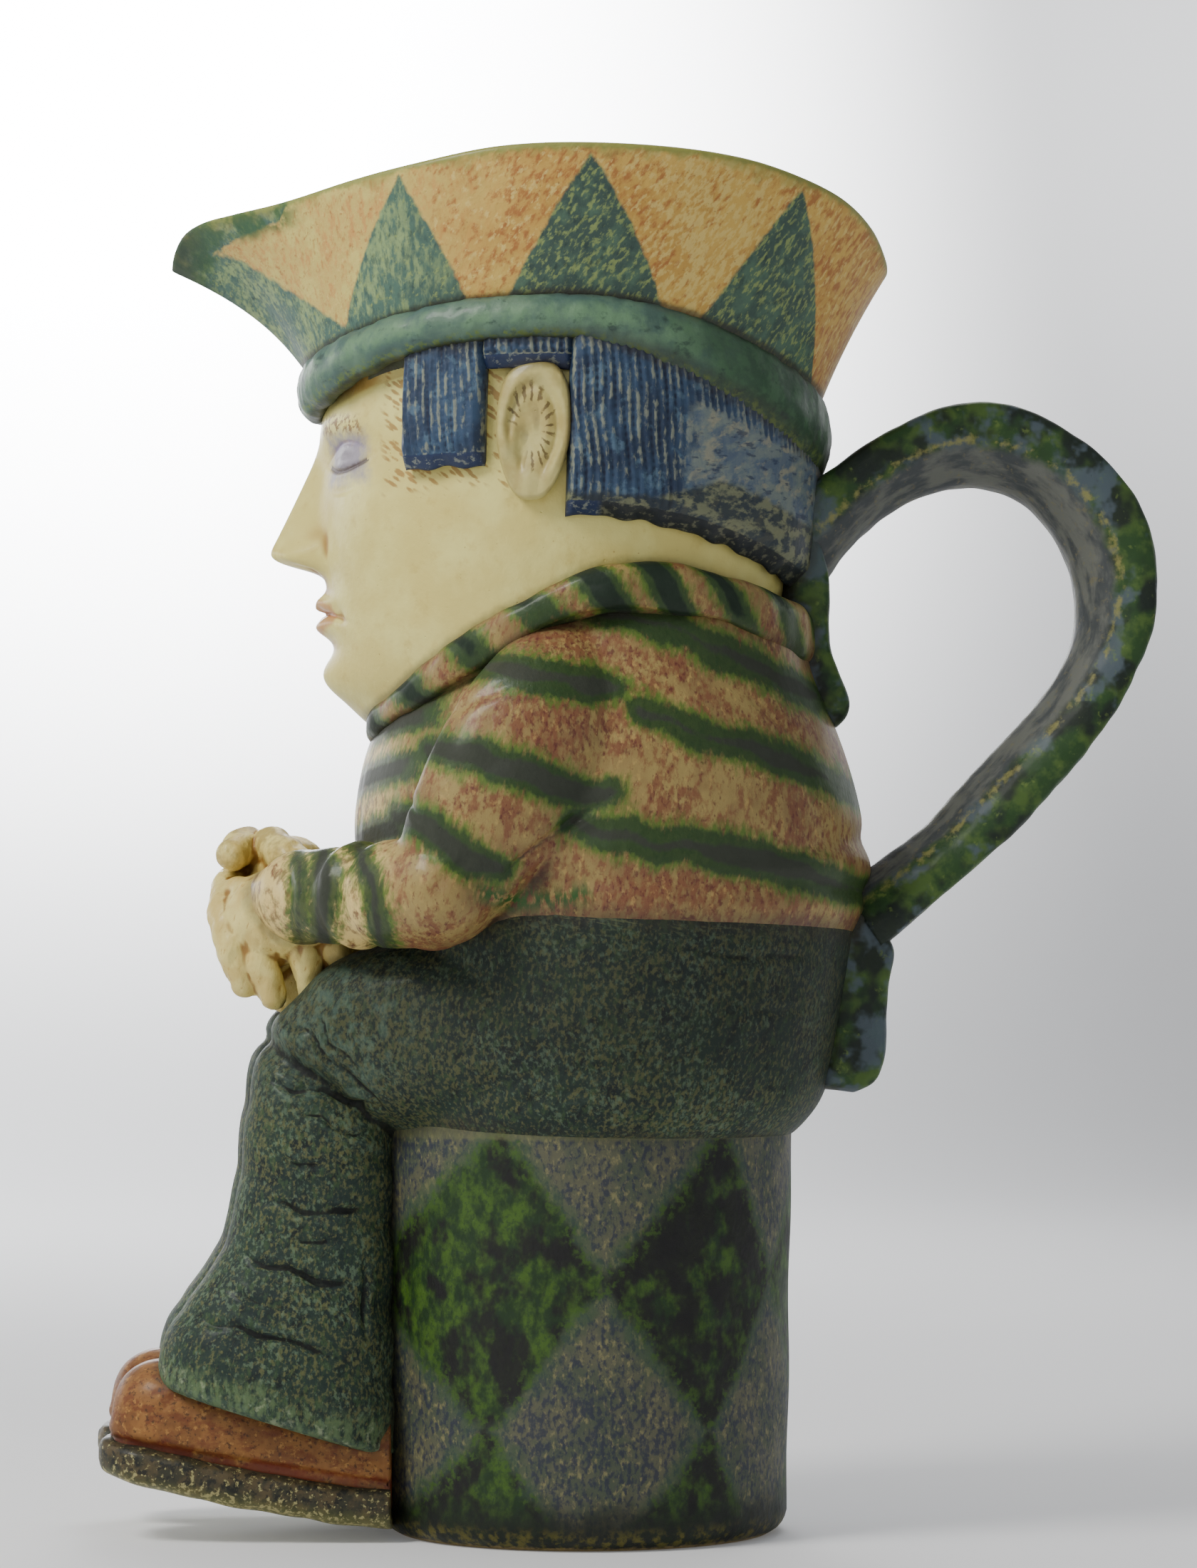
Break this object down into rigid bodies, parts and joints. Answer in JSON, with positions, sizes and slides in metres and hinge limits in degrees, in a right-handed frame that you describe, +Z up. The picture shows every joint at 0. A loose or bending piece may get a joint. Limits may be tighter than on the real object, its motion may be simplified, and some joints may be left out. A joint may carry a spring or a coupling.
{
  "type": "character jug",
  "caption": "Glazed character jug: a man with clasped hands sits on a round stool, his tall hat is the mouth with a beak to pour from, and a strap handle loops behind.",
  "frame": {"origin": "centre of the round stool's flat underside, at floor level", "axes": "+Z up, the figure faces -Y with the beak, its left hand is at +X and the handle at +Y"},
  "size_m": [0.1156, 0.2155, 0.2716],
  "materials": {
    "jug_glaze": "glossy mottled glaze over painted oxides"
  },
  "bodies": {
    "root": {"jug": "jug_glaze"}
  },
  "joints": []
}
